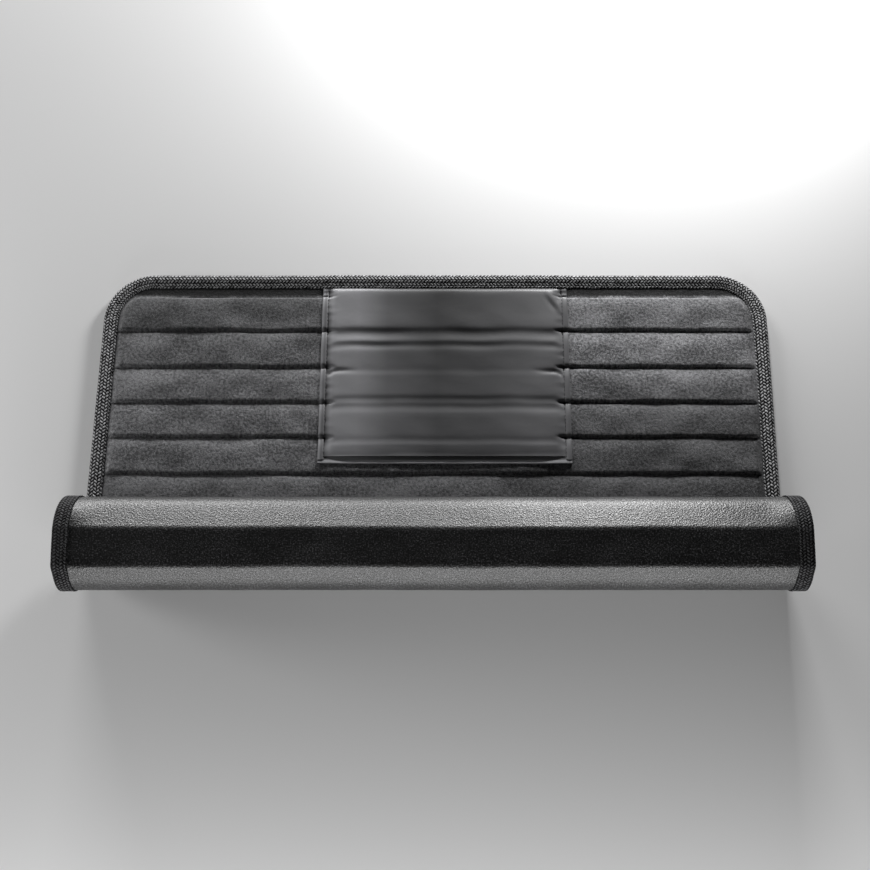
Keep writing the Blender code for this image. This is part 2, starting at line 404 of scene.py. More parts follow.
# A finish under way: its node tree, its shader, and the patterns that the finishes here share
class Finish:
    def __init__(self, name, **constants):
        self.material = bpy.data.materials.new(name)
        self.material.use_nodes = True
        self.tree = self.material.node_tree
        self.shader = self.tree.nodes["Principled BSDF"]
        for socket, value in constants.items():
            self.shader.inputs[socket.replace("_", " ").title().replace("Ior", "IOR")].default_value = value

    def node(self, kind, settings=None, sockets=None, output=0):
        return addNode(self.tree, kind, settings, sockets, output)

    # The flat place in metres, stretched by so much across and along
    def place(self, across=1.0, along=1.0):
        uv = self.node("ShaderNodeUVMap", {"uv_map": "flat"})
        return self.node("ShaderNodeVectorMath", {"operation": "MULTIPLY"}, {0: uv, 1: (across, along, 1)})

    def noise(self, vector, scale, detail=2.0, roughness=0.5):
        sockets = {"Vector": vector, "Scale": scale, "Detail": detail, "Roughness": roughness}
        return self.node("ShaderNodeTexNoise", {}, sockets)

    def ramp(self, value, *stops):
        return self.node("ShaderNodeValToRGB", {"stops": stops}, {"Fac": value})

    # Between two colours, each given as a colour or as a signal
    def tint(self, share, dark, light):
        dark, light = (c if isinstance(c, Signal) else (*c, 1) for c in (dark, light))
        return self.node("ShaderNodeMix", {"data_type": "RGBA"}, {"Factor": share, 6: dark, 7: light}, 2)

    # From the first level to the last as a value goes from low to high
    def change(self, value, low, high, first=0.0, last=1.0, kind="LINEAR"):
        sockets = {0: value, 1: low, 2: high, 3: first, 4: last}
        return self.node("ShaderNodeMapRange", {"interpolation_type": kind}, sockets)

    # A place's x and s, each as a number
    def xAndS(self):
        uv = self.node("ShaderNodeUVMap", {"uv_map": "flat"})
        return [self.node("ShaderNodeSeparateXYZ", {}, {0: uv}, which) for which in (0, 1)]

    def shade(self, colour, share):
        return self.node("ShaderNodeVectorMath", {"operation": "SCALE"}, {0: colour, "Scale": share})

    def bump(self, height, depth, strength=1.0, after=None):
        sockets = {"Height": height, "Distance": depth, "Strength": strength}
        if after is not None:
            sockets["Normal"] = after
        return self.node("ShaderNodeBump", {}, sockets)

    def feed(self, **signals):
        for socket, signal in signals.items():
            self.tree.links.new(signal.socket, self.shader.inputs[socket.replace("_", " ").title()])
        return self.material


def dress(piece, material, slot, *nodes):
    piece.data.materials.clear()
    piece.data.materials.append(material)
    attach(piece, "root")
    if nodes:
        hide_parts(*nodes)
    return piece


# Quilted face

face = {
    "thickness": 0.0010,
    "columns": 176,
    "insets": (0.0013, 0.0163, 0.0175, 0.0190, 0.0208, 0.0226, 0.0243, 0.0270),
    "fineRows": 22,          # to a channel that shows
    "coarseRows": 8,         # and to one rolled inside
    "fineUntil": 0.40,       # from the far edge
    "uneven": 0.0005,        # how much one stretch of padding stands over another
    "puckers": 0.00077,      # small folds that the seam's thread pulls in
    "puckerReach": 0.13,     # share of a channel
    "rolledShare": 0.25,     # how much of its unevenness is left inside the roll
    "dark": (0.027, 0.027, 0.0285),
    "light": (0.150, 0.150, 0.155),
    "paintedLightLength": 0.25,       # painted light and shade: the knit's tone changes down this stretch of the mat
    "leftPaintedLight": ((0.18, 0.31), (0.36, 0.51), (0.52, 0.62), (0.90, 0.64), (1.0, 0.44)),
    "rightPaintedLight": ((0.18, 0.64), (0.36, 0.94), (0.52, 0.72), (0.70, 0.40), (0.90, 0.34)),
    "paintedLightTurn": (-0.10, 0.16),           # from the left side's painted light and shade to the right side's
    "paintedLightGain": 2.6,
    "hollowPaintedShade": 0.12,     # painted shade: how dark the knit is made in the hollow beside the tape, where the tape shades it
    "paintedShadeEnd": (0.0242, 0.0262),
}


def knitFinish():
    knit = Finish("brushed knit", roughness=0.93, sheen_weight=0.2, sheen_roughness=0.45)
    nap = knit.noise(knit.place(), 320, 4, 0.7)
    fibres = knit.noise(knit.place(0.45, 1.0), 1500, 2, 0.6)
    wear = knit.noise(knit.place(0.5, 1.0), 26, 3, 0.55)
    tone = nap * 0.62 + fibres * 0.38 + (wear - 0.5) * 0.35
    colour = knit.tint(knit.ramp(tone, (0.41, 0.0), (0.60, 1.0)), face["dark"], face["light"])
    # painted light and shade: the knit is made paler or darker down the mat, one way on the left and another
    # on the right, as the lamps light it
    x, s = knit.xAndS()
    down = s / face["paintedLightLength"] + (wear - 0.5) * 0.2
    left, right = knit.ramp(down, *face["leftPaintedLight"]), knit.ramp(down, *face["rightPaintedLight"])
    paintedLight = left + (right - left) * knit.change(x, *face["paintedLightTurn"])
    # painted shade: the knit is darkened in the hollow between the tape and the first channel
    hollow = knit.change(
        s + (nap - 0.5) * 0.004, *face["paintedShadeEnd"], face["hollowPaintedShade"], 1.0, "SMOOTHSTEP")
    colour = knit.shade(colour, paintedLight * face["paintedLightGain"] * hollow)
    coarse = knit.bump(nap, 0.0009, 0.9)
    return knit.feed(base_color=colour, normal=knit.bump(fibres, 0.0004, 0.8, coarse))


cloth = {
    "channels": 8,           # that are left to settle, from the far end
    "rows": 8,               # to a channel
    "step": 0.005,
    "margin": 0.020,         # from the mat's sides
    "firstRow": 0.0220,      # between the tape and the first seam
    "grip": 0.001,           # how near a seam the sheet is held
    "sideGrip": 0.003,       # and how near its own sides
    "frames": 12,
    "quality": 5,
    "stiffness": 15,
    "bending": 2.0,
    "slack": 0.006,          # share by which the knit is longer than its plain swell
    "push": 10,              # of the padding, from below
    "share": 0.75,           # how much of its folds is kept
    "limit": 0.0011,
}


# The face as a sheet of knit, sewn down along its seams and at its edges and pushed up by the
# padding, is left to settle. What is kept is how far each place stands off the mean of its row.
def settledFace():
    seams = seamPlaces[:cloth["channels"] + 1]
    rows = [np.linspace(a, b, cloth["rows"] + 1)[:-1] for a, b in zip(seams[:-1], seams[1:])]
    rows = np.concatenate([[pad["paddingStart"], cloth["firstRow"]], *rows, seams[-1:]])
    half = pad["width"] / 2 - cloth["margin"]
    columns = np.linspace(-half, half, int(2 * half / cloth["step"]) + 1)
    x, s = np.meshgrid(columns, rows)
    h = faceTop(x, s, 1.0)
    number = np.arange(x.size).reshape(x.shape)
    quads = np.stack([number[:-1, :-1], number[1:, :-1], number[1:, 1:], number[:-1, 1:]], -1)
    points = np.stack([x, -s, h], -1).reshape(-1, 3)
    mesh = bpy.data.meshes.new("knitSheet")
    mesh.from_pydata(points.tolist(), [], quads.reshape(-1, 4).tolist())
    sheet = bpy.data.objects.new("knitSheet", mesh)
    bpy.context.scene.collection.objects.link(sheet)
    atSeam = np.min(np.abs(s[..., None] - seams), -1) < cloth["grip"]
    held = atSeam | (s < seams[0]) | (np.abs(x) > half - cloth["sideGrip"])
    sewn = sheet.vertex_groups.new(name="sewn")
    sewn.add([int(i) for i in number[held]], 1.0, "REPLACE")
    settle = sheet.modifiers.new("settle", "CLOTH")
    settings = settle.settings
    settings.quality = cloth["quality"]
    settings.tension_stiffness = settings.compression_stiffness = cloth["stiffness"]
    settings.bending_stiffness = cloth["bending"]
    settings.vertex_group_mass = "sewn"
    settings.shrink_min = settings.shrink_max = -cloth["slack"]
    settings.use_pressure = True
    settings.uniform_pressure_force = cloth["push"]
    settings.effector_weights.gravity = 0
    settle.collision_settings.use_collision = False
    settle.point_cache.frame_start, settle.point_cache.frame_end = 1, cloth["frames"]
    for frameNumber in range(1, cloth["frames"] + 1):
        bpy.context.scene.frame_set(frameNumber)
    settled = sheet.evaluated_get(bpy.context.evaluated_depsgraph_get()).to_mesh()
    places = np.zeros(x.size * 3)
    settled.vertices.foreach_get("co", places)
    bpy.data.objects.remove(sheet, do_unlink=True)
    bpy.context.scene.frame_set(1)
    off = places.reshape(*x.shape, 3)[..., 2] - h
    off = np.clip((off - off.mean(1, keepdims=True)) * cloth["share"], -cloth["limit"], cloth["limit"])
    print("the face has settled, with folds of", round(float(off.std()) * 1000, 2), "mm")
    return rows, columns, off


# The settled folds at any place, rounded off between the sheet's own places
def foldsAt(x, s):
    rows, columns, off = faceFolds
    down = np.interp(s, rows, np.arange(len(rows)))
    across = np.interp(x, columns, np.arange(len(columns)))

    # of the four nearest rows or columns, as a cubic spline takes them
    def weights(place):
        t = place - np.floor(place)
        before, after = (3 * t ** 3 - 6 * t ** 2 + 4) / 6, (3 * (t + t ** 2 - t ** 3) + 1) / 6
        return (1 - t) ** 3 / 6, before, after, t ** 3 / 6

    total = 0.0
    for i, rowWeight in enumerate(weights(down)):
        row = np.clip(np.floor(down).astype(int) + i - 1, 0, len(rows) - 1)
        for j, columnWeight in enumerate(weights(across)):
            column = np.clip(np.floor(across).astype(int) + j - 1, 0, len(columns) - 1)
            total = total + rowWeight * columnWeight * off[row, column]
    return total * (s < rows[-1])


faceFolds = settledFace()


def quiltedFace():
    x, s, inset = gridOver(face)
    channel, share = channelAt(x, s)
    # each channel, and each side of a seam, takes its own stretch of the waves
    swell = ripples(31, 0.070, 12, 0.9)
    folds = ripples(37, 0.014, 14, 0.25)
    uneven = face["uneven"] * swell(x, s + channel * 0.31)
    nearSeam = np.exp(-np.minimum(share, 1 - share) / face["puckerReach"])
    pulled = face["puckers"] * folds(x, channel * 0.9 + np.round(share) * 0.9) * nearSeam
    outside = 1 - (1 - face["rolledShare"]) * smooth((s - roll["flatLength"]) / 0.02)
    # it lies smooth under the patch and the tape
    margin = 0.003
    underPatch = smooth((patch["width"] / 2 + margin - np.abs(x - patch["offset"])) / margin)
    underPatch = underPatch * smooth((patch["end"] + margin - s) / margin)
    bare = (1 - underPatch) * free(s, inset)
    h = faceTop(x, s, inset, outside * (uneven + pulled) * bare) + foldsAt(x, s) * bare
    over = np.stack([x, s, h], -1)
    under = np.stack([x, s, h - face["thickness"]], -1)
    piece = layerBetween("quiltedFace", under, over)
    dress(piece, knitFinish(), "face", "quilted_face")
    return piece


# Foam, under the face

foam = {
    "columns": 60,
    "insets": face["insets"],
    "fineRows": 6,
    "coarseRows": 4,
    "fineUntil": 0.40,
    "clearance": 0.0008,     # under the face's own underside
    "leastThickness": 0.0003,
    "dark": (0.070, 0.070, 0.077),
    "light": (0.130, 0.130, 0.143),
}


def foamFinish():
    cells = Finish("foam", roughness=0.95)
    pores = cells.noise(cells.place(), 900, 2)
    return cells.feed(
        base_color=cells.tint(pores, foam["dark"], foam["light"]), normal=cells.bump(pores, 0.0003))


def foamPadding():
    x, s, inset = gridOver(foam)
    low = backingTop(s, inset) + pad["gap"]
    underFace = faceTop(x, s, inset) - face["thickness"] - foam["clearance"]
    high = np.maximum(underFace, low + foam["leastThickness"])
    piece = layerBetween("foamPadding", np.stack([x, s, low], -1), np.stack([x, s, high], -1))
    dress(piece, foamFinish(), "foam", "foam_padding")
    return piece


# Rubber underside

backing = {
    "thickness": 0.0012,
    "columns": 150,
    "insets": (0.0013, 0.0163, 0.0215, 0.0303),
    "fineRows": 16,
    "coarseRows": 8,
    "fineUntil": 0.62,
    "uneven": 0.00035,       # how much it bulges out on the roll,
    "bulgeStart": 0.05,      # fully so this far into it
    "grain": 560,            # to a metre
    "roughness": 0.36,       # at the least
    "dark": (0.0005, 0.0005, 0.0005),
    # painted glints: the colour of the pale specks on the rubber
    "light": (0.1500, 0.1500, 0.1550),
}


def rubberFinish():
    rubber = Finish("grained rubber", specular_ior_level=0.70)
    grain = rubber.node(
        "ShaderNodeTexVoronoi", {"feature": "SMOOTH_F1"},
        {"Vector": rubber.place(), "Scale": backing["grain"], "Smoothness": 0.25, "Randomness": 1.0})
    fine = rubber.noise(rubber.place(), 1700, 2, 0.6)
    smears = rubber.noise(rubber.place(0.6, 1.0), 22, 3, 0.6)
    patches = rubber.noise(rubber.place(), backing["grain"], 2, 0.7)
    dull = rubber.ramp(patches, (0.46, 0.0), (0.62, 1.0))
    # painted glints: pale specks on the grain's tops stand in for the small highlights they catch
    tops = rubber.noise(rubber.place(), 640, 2, 0.7)
    paintedGlints = rubber.ramp(tops * 0.85 + smears * 0.15, (0.51, 0.0), (0.68, 1.0))
    return rubber.feed(
        base_color=rubber.tint(paintedGlints, backing["dark"], backing["light"]),
        roughness=smears * 0.06 + dull * 0.14 + backing["roughness"],
        normal=rubber.bump(grain * 0.8 + fine * 0.35, 0.00038, 0.9))


def rubberBacking():
    x, s, inset = gridOver(backing)
    bulge = ripples(41, 0.09, 12, 1.2)
    rolledOut = smooth((s - roll["flatLength"]) / backing["bulgeStart"]) * free(s, inset)
    high = backingTop(s, inset)
    low = high - backing["thickness"] - backing["uneven"] * rolledOut * (0.6 + 0.6 * bulge(x, s))
    piece = layerBetween("rubberBacking", np.stack([x, s, low], -1), np.stack([x, s, high], -1))
    return dress(piece, rubberFinish(), "backing", "rubber_backing")


# Tape round the edge

tape = {
    "thickness": 0.0010,
    "width": 0.016,
    "height": 0.0064,
    "edgeStray": 0.00035,    # how uneven its inner edges are
    "topStray": 0.00012,     # and its top
    "cornerSteps": 30,
    "flatStep": 0.006,
    "rollStep": 0.0032,
    "rib": 0.0034,           # from one row of the weave to the next, across the tape
    "pick": 0.0040,          # and from one thread to the next along it
    "backPick": 0.0034,      # the same on the other side of the tape, which is woven finer
    "dome": 0.0010,          # how far it is bulged up where the mat lies flat,
    "domePlace": 0.0055,     # most of all this far from its outer edge
    "domeWidth": 0.0040,
    "climb": 0.003,          # width over which it climbs over the side of the patch
    "stitchInset": 0.0013,   # from its inner edge
    "dark": (0.0030, 0.0030, 0.0032),
    "light": (0.480, 0.480, 0.490),
    "backLight": (0.085, 0.085, 0.088),
}


# The tape's section as (inset, h), from the inner edge underneath, round the outside, to the inner
# edge on top and back inside
def tapeSection():
    width, height, thick = tape["width"], tape["height"], tape["thickness"]
    outside = [
        (width, 0.0003), (width - 0.0006, 0.0), (width - 0.003, 0.0001), (0.009, 0.0), (0.005, 0.0),
        (0.0022, 0.0), (0.0009, 0.0005), (0.0002, 0.0015), (0.0, height / 2), (0.0002, height - 0.0015),
        (0.0009, height - 0.0006), (0.0022, height - 0.0001), (0.0045, height), (0.0075, height - 0.0001),
        (0.0105, height - 0.0004), (width - 0.003, height - 0.0008), (width - 0.0012, height - 0.0010),
        (width - 0.0003, height - 0.0011), (width, height - 0.0014)]
    inside = [
        (width - 0.0003, height - 0.0017), (width - 0.003, height - 0.0017), (0.0075, height - 0.0013),
        (thick + 0.0002, height - thick - 0.0001), (thick, height - thick - 0.0004),
        (thick, thick + 0.0004), (thick + 0.0002, thick + 0.0001), (0.0075, thick),
        (width - 0.003, thick), (width - 0.0004, thick - 0.0002)]
    return np.array(outside + inside)


# The mat's outline as (x, s) with its outward direction and the length along it, once round from
# the middle of the near edge, which is rolled inside
def outlineRound():
    corner, half, length = pad["cornerRadius"], pad["width"] / 2, pad["length"]
    across, along = half - corner, length - corner
    side = np.concatenate([
        np.arange(corner, roll["flatLength"], tape["flatStep"]),
        np.arange(roll["flatLength"], along, tape["rollStep"])])
    side = np.unique(np.round(side, 6))
    front = np.linspace(0, across, int(across / tape["flatStep"]))
    arc = np.linspace(0, math.pi / 2, tape["cornerSteps"] + 1)[1:-1]
    points, ways = [], []

    def run(xs, ss, wayX, wayS):
        for x, s in zip(*np.broadcast_arrays(xs, ss)):
            points.append((float(x), float(s)))
            ways.append((wayX, wayS))

    def bend(x, s, start):
        for angle in arc:
            way = (math.cos(start + angle), math.sin(start + angle))
            points.append((x + corner * way[0], s + corner * way[1]))
            ways.append(way)

    run(-front, length, 0, 1)
    bend(-across, along, math.pi / 2)
    run(-half, side[::-1], -1, 0)
    bend(-across, corner, math.pi)
    run(np.concatenate([-front[::-1], front[1:]]), 0.0, 0, -1)
    bend(across, corner, 1.5 * math.pi)
    run(half, side, 1, 0)
    bend(across, along, 0)
    run(front[::-1][:-1], length, 0, 1)
    points, ways = np.array(points), np.array(ways)
    steps = np.linalg.norm(np.roll(points, -1, 0) - points, axis=1)
    return points, ways, np.concatenate([[0], np.cumsum(steps)])


def tapeFinish():
    weave = Finish("woven tape", roughness=0.6, specular_ior_level=0.10)
    length, across = weave.xAndS()
    # 1 on the side that lies on the padded face, 0 on the side that lies on the rubber
    front = weave.change(across, tape["width"] + 0.002, tape["width"] + 0.003)
    stray = weave.noise(weave.place(), 240, 2) - 0.5
    rib = across / tape["rib"] + stray * 0.35
    ribNumber = rib.maths("FLOOR", rib)
    acrossRib = rib - ribNumber
    odd = ribNumber.maths("MODULO", ribNumber, 2.0)
    pick = length / (front * (tape["pick"] - tape["backPick"]) + tape["backPick"])
    pick = pick + odd * 0.5 + (acrossRib - 0.5) * (0.6 - odd * 1.2) + stray * 0.5
    fromPick = (pick.maths("FRACT", pick) - 0.5) * 2
    fromRib = (acrossRib - 0.5) * 2
    humpAlong = 1 - fromPick.maths("ABSOLUTE", fromPick) ** 1.6
    hump = humpAlong * (1 - fromRib.maths("ABSOLUTE", fromRib) ** 4.0)
    threads = weave.noise(weave.place(1.0, 0.35), 2600, 1)
    uneven = weave.noise(weave.place(), 150, 2, 0.6)
    # the woven pattern, with painted highlights on the raised threads and painted shade in the gaps between
    # them
    tone = weave.ramp(hump + (threads - 0.5) * 0.4 + (uneven - 0.5) * 1.1, (0.42, 0.0), (0.95, 1.0))
    colour = weave.tint(tone, tape["dark"], weave.tint(front, tape["backLight"], tape["light"]))
    coarse = weave.bump(hump, 0.0008, 1.0)
    return weave.feed(base_color=colour, normal=weave.bump(threads, 0.0002, 0.6, coarse))


# How far the tape is lifted where it lies over the top of the patch
def overPatch(x, s):
    inside = patch["width"] / 2 + 0.0018 - np.abs(x - patch["offset"])
    return (patch["thickness"] + pad["gap"]) * (smooth(inside / tape["climb"]) * (s < 0.001))


def edgeTape():
    points, ways, lengths = outlineRound()
    section = tapeSection()
    count, size = len(points), len(section)
    fromEdge, high = section[None, :, 0], section[None, :, 1]
    edgeWave = ripples(53, 0.03, 10, 0.0)(lengths[:-1])[:, None]
    topWave = ripples(59, 0.02, 10, 0.0)(lengths[:-1])[:, None]
    inset = fromEdge + tape["edgeStray"] * edgeWave * (fromEdge > tape["width"] - 0.004)
    h = high + tape["topStray"] * topWave * (high > 0.003)
    domed = np.exp(-((fromEdge - tape["domePlace"]) / tape["domeWidth"]) ** 2) * sag(points[:, None, 1])
    h = h + tape["dome"] * domed * (h > tape["height"] / 2 + 0.0005)
    lifted = overPatch(points[:, 0], points[:, 1])[:, None]
    h = h + lifted * (h > tape["height"] - tape["thickness"] - 0.0006)
    flat = np.stack([
        points[:, None, 0] - ways[:, None, 0] * inset,
        points[:, None, 1] - ways[:, None, 1] * inset,
        h], -1)
    step = np.linalg.norm(np.diff(np.concatenate([section, section[:1]]), axis=0), axis=1)
    across = np.concatenate([[0], np.cumsum(step)])
    number = np.arange(count * size).reshape(count, size)
    ahead = np.roll(number, -1, 0)
    beside = np.roll(number, -1, 1)
    both = np.roll(ahead, -1, 1)
    quads = np.stack([number, beside, both, ahead], -1).reshape(-1, 4)
    u0, u1 = np.meshgrid(lengths[:-1], across[:-1], indexing="ij")
    v0, v1 = np.meshgrid(lengths[1:], across[1:], indexing="ij")
    uv = np.stack([u0, u1, u0, v1, v0, v1, v0, u1], -1).reshape(-1, 2)
    piece = rolledObject("edgeTape", flat, quads.tolist())
    piece.data.uv_layers["flat"].data.foreach_set("uv", uv.astype(np.float32).ravel())
    turnOutwards(piece)
    bpy.ops.object.shade_smooth_by_angle(angle=math.radians(55))
    return dress(piece, tapeFinish(), "binding", "edge_binding")


# Nylon patch

patch = {
    "width": 0.277,
    "offset": 0.0125,
    "start": 0.003,
    "end": 0.2260,
    "thickness": 0.0007,
    "columns": 92,
    "rowStep": 0.0013,
    "seam": 0.0062,          # from its sides to the stitches
    "sunk": 0.0006,          # how far they draw it down
    "stand": 0.0009,         # how far the cloth stands off the crowns
    "rise": 0.010,           # width over which it rises off the face, inside its seams
    "bulge": 0.0020,         # how far it stands up between its side seams
    "bulgeWidth": 0.036,
    "hem": 0.0045,
    "hemHeight": 0.0012,
    "slit": 0.0040,          # the dark opening above the hem
    "lip": 0.0002,           # how far the cloth above it stands up
    "foldHeight": 0.0008,    # of the rounded folds down its sides
    "foldAllowance": 0.011,  # cloth turned under at its sides and its hem
    "profile": (             # along the mat, and how high the cloth stands over the crowns, in mm
        (15, -3.4), (18, -2.8), (21, -1.75), (24, -1.15), (27, -0.95), (31, -0.85), (40, -0.65), (50, -0.3),
        (58, 0.1), (62, 0.25), (66, 0.3), (68.5, 0.0), (71.5, -0.95), (74.5, -1.2), (78, -0.75), (82.5, 0.15),
        (84.5, 0.2), (87.5, -0.55), (90, -0.65), (94.5, 0.1), (98, 0.15), (112, -0.1), (119, -0.35),
        (124, 0.0), (146, 0.1), (148.5, 0.0), (151.5, -0.65), (154, -0.75), (157, -0.55), (160, -0.9),
        (162.5, -0.95), (168, -0.1), (172, 0.05), (190, 0.0), (195, -0.1), (199, -0.5), (201.5, -0.45),
        (205, 0.0), (210, -0.4), (214, -0.9), (217, -1.3), (230, -1.3)),
    "creaseStray": 0.0010,   # how far its creases wander
    "turnDown": 0.0055,      # and how far they turn down at its sides
    "pucker": 0.00030,
    "sideCrease": {"s": 0.119, "depth": 0.0012, "width": 0.0026, "reach": 0.036, "stray": 0.0012},
    "cornerFold": {          # the slanting one at its upper right, with a hollow beside it
        "x": 0.131, "s": 0.031, "slant": 0.55, "shift": 0.010, "height": 0.0010, "width": 0.0022,
        "length": 0.012, "hollowShare": 0.7, "hollowPlace": 0.0042, "hollowWidth": 0.0024},
    "dark": (0.230, 0.230, 0.240),
    "light": (0.294, 0.294, 0.306),
    "edgePaintedSheen": ((0.0, 1.0), (0.006, 1.0), (0.011, 0.55), (0.028, 0.50)),      # painted sheen across it, from its left
    # painted sheen across it, at its far end and at its near end
    "farPaintedSheen": (
        (0.045, 0.96), (0.15, 0.84), (0.27, 0.27), (0.47, 0.04), (0.70, 0.17), (0.88, 0.32), (1.0, 0.37)),
    "nearPaintedSheen": (
        (0.045, 1.0), (0.15, 1.0), (0.27, 0.58), (0.47, 0.33), (0.70, 0.37), (0.88, 0.54), (1.0, 0.56)),
    "hemPaintedSheen": 1.6,         # painted highlight on the hem, at its middle, and the share of it across the hem
    "hemEvenSheen": ((0.0, 0.45), (0.05, 0.46), (0.13, 1.0), (0.87, 1.0), (0.95, 0.40), (1.0, 0.38)),
}


def nylonFinish():
    nylon = Finish("satin nylon", sheen_weight=0.1, specular_ior_level=0.4)
    cloud = nylon.noise(nylon.place(0.8, 1.0), 18, 3, 0.55)
    yarn, pick = (nylon.node(
        "ShaderNodeTexWave", {"bands_direction": way},
        {"Vector": nylon.place(), "Scale": 480, "Distortion": 0.6, "Detail": 1.0}) for way in "XY")
    soft = nylon.noise(nylon.place(0.55, 1.0), 55, 2, 0.5)
    first = nylon.bump(soft, 0.0008, 0.25)
    # painted sheen: it is coloured paler near the seams at its sides, and differently towards its near end
    x, s = nylon.xAndS()
    across = (x - patch["offset"]) / patch["width"] + 0.5
    far, near = (nylon.ramp(across, *patch["edgePaintedSheen"], *patch[end]) for end in ("farPaintedSheen", "nearPaintedSheen"))
    paintedSheen = far + (near - far) * (s / patch["end"])
    # painted highlight along the hem, fading towards its corners
    hemStart = patch["end"] - patch["hem"]
    hemPaintedSheen = nylon.ramp(across, *patch["hemEvenSheen"]) * patch["hemPaintedSheen"]
    paintedSheen = paintedSheen + (hemPaintedSheen - paintedSheen) * nylon.change(s, hemStart - 0.0004, hemStart)
    return nylon.feed(
        base_color=nylon.shade(nylon.tint(cloud, patch["dark"], patch["light"]), paintedSheen),
        roughness=cloud * 0.08 + 0.44, normal=nylon.bump(yarn * pick, 0.00006, 0.35, first))


# How high the cloth stands at each place along the mat, rounded off
def patchProfile():
    step, tail, blur = 0.00025, 24, 0.0011
    places = np.arange(0.010, 0.235, step)
    table = np.array(patch["profile"]) / 1000
    heights = np.interp(places, table[:, 0], table[:, 1])
    weights = np.exp(-0.5 * (np.arange(-tail, tail + 1) * step / blur) ** 2)
    return places, np.convolve(np.pad(heights, tail, "edge"), weights / weights.sum(), mode="valid")


profilePlaces, profileHeights = patchProfile()


# How far inside its nearer side a place on the patch is
def insidePatch(x):
    return patch["width"] / 2 - np.abs(x - patch["offset"])


def cornerFold(x, s):
    fold = patch["cornerFold"]
    fromSeam = patch["width"] / 2 - (x - patch["offset"]) - patch["seam"]
    x, s = x - patch["offset"] - fold["x"], s - fold["s"]
    off = (x + fold["shift"]) * math.cos(fold["slant"]) - s * math.sin(fold["slant"])
    run = x * math.sin(fold["slant"]) + s * math.cos(fold["slant"])
    ridge = np.exp(-(off / fold["width"]) ** 2)
    hollow = fold["hollowShare"] * np.exp(-((off + fold["hollowPlace"]) / fold["hollowWidth"]) ** 2)
    return fold["height"] * (ridge - hollow) * np.exp(-(run / fold["length"]) ** 2) * smooth(fromSeam / 0.003)


# Height of the patch's own surface: on the face at its sides, drawn down by its seams, and creased
# across between them
def patchTop(x, s):
    side = insidePatch(x)
    fromSeam = side - patch["seam"]
    onFace = faceTop(x, s, 1.0) + pad["gap"]
    tucked = smooth((s - pad["paddingStart"]) / 0.006)
    inside = smooth(fromSeam / 0.004)
    # its creases wander, turn down at its sides and come and go
    turnDown = patch["turnDown"] * smooth(1 - (side - 0.003) / 0.013)
    along = s - patch["creaseStray"] * ripples(71, 0.10, 9, 0.3)(x, s * 0.7) - turnDown
    share = 0.85 + 0.30 * ripples(72, 0.09, 9, 0.9)(x, s)
    bridge = pad["freeCrown"] + pad["gap"] + patch["stand"]
    bridge = np.maximum(bridge + np.interp(along, profilePlaces, profileHeights) * share, onFace)
    grown = smooth((fromSeam - 0.0008) / patch["rise"])
    h = onFace + (bridge - onFace) * grown
    pull = smooth(1 - fromSeam / patch["bulgeWidth"]) ** 1.4
    h = h + patch["bulge"] * (1 - pull) * tucked * grown
    # puckers at its side stitches
    pulled = ripples(67, 0.0085, 12, 1.5)(s, x * 0.15)
    h = h + patch["pucker"] * pulled * np.exp(-np.abs(fromSeam) / 0.005) * tucked
    h = h - patch["sunk"] * np.exp(-(fromSeam / 0.0011) ** 2) * tucked
    crease = patch["sideCrease"]
    off = s - crease["s"] - crease["stray"] * ripples(71, 0.10, 9, 0.0)(x * 2) - turnDown
    depth = crease["depth"] * np.exp(-(off / crease["width"]) ** 2)
    h = h - depth * inside * smooth(1.3 - side / crease["reach"])
    h = h + cornerFold(x, s) * inside
    h = h + 0.00016 * ripples(73, 0.050, 12, 0.9)(x, s) * inside * tucked
    top = pad["edge"] + pad["gap"] + patch["thickness"]
    out = smooth((s - pad["paddingStart"]) / 0.0035)
    return np.where(s < pad["paddingStart"], top, top + (h + patch["thickness"] - top) * out)


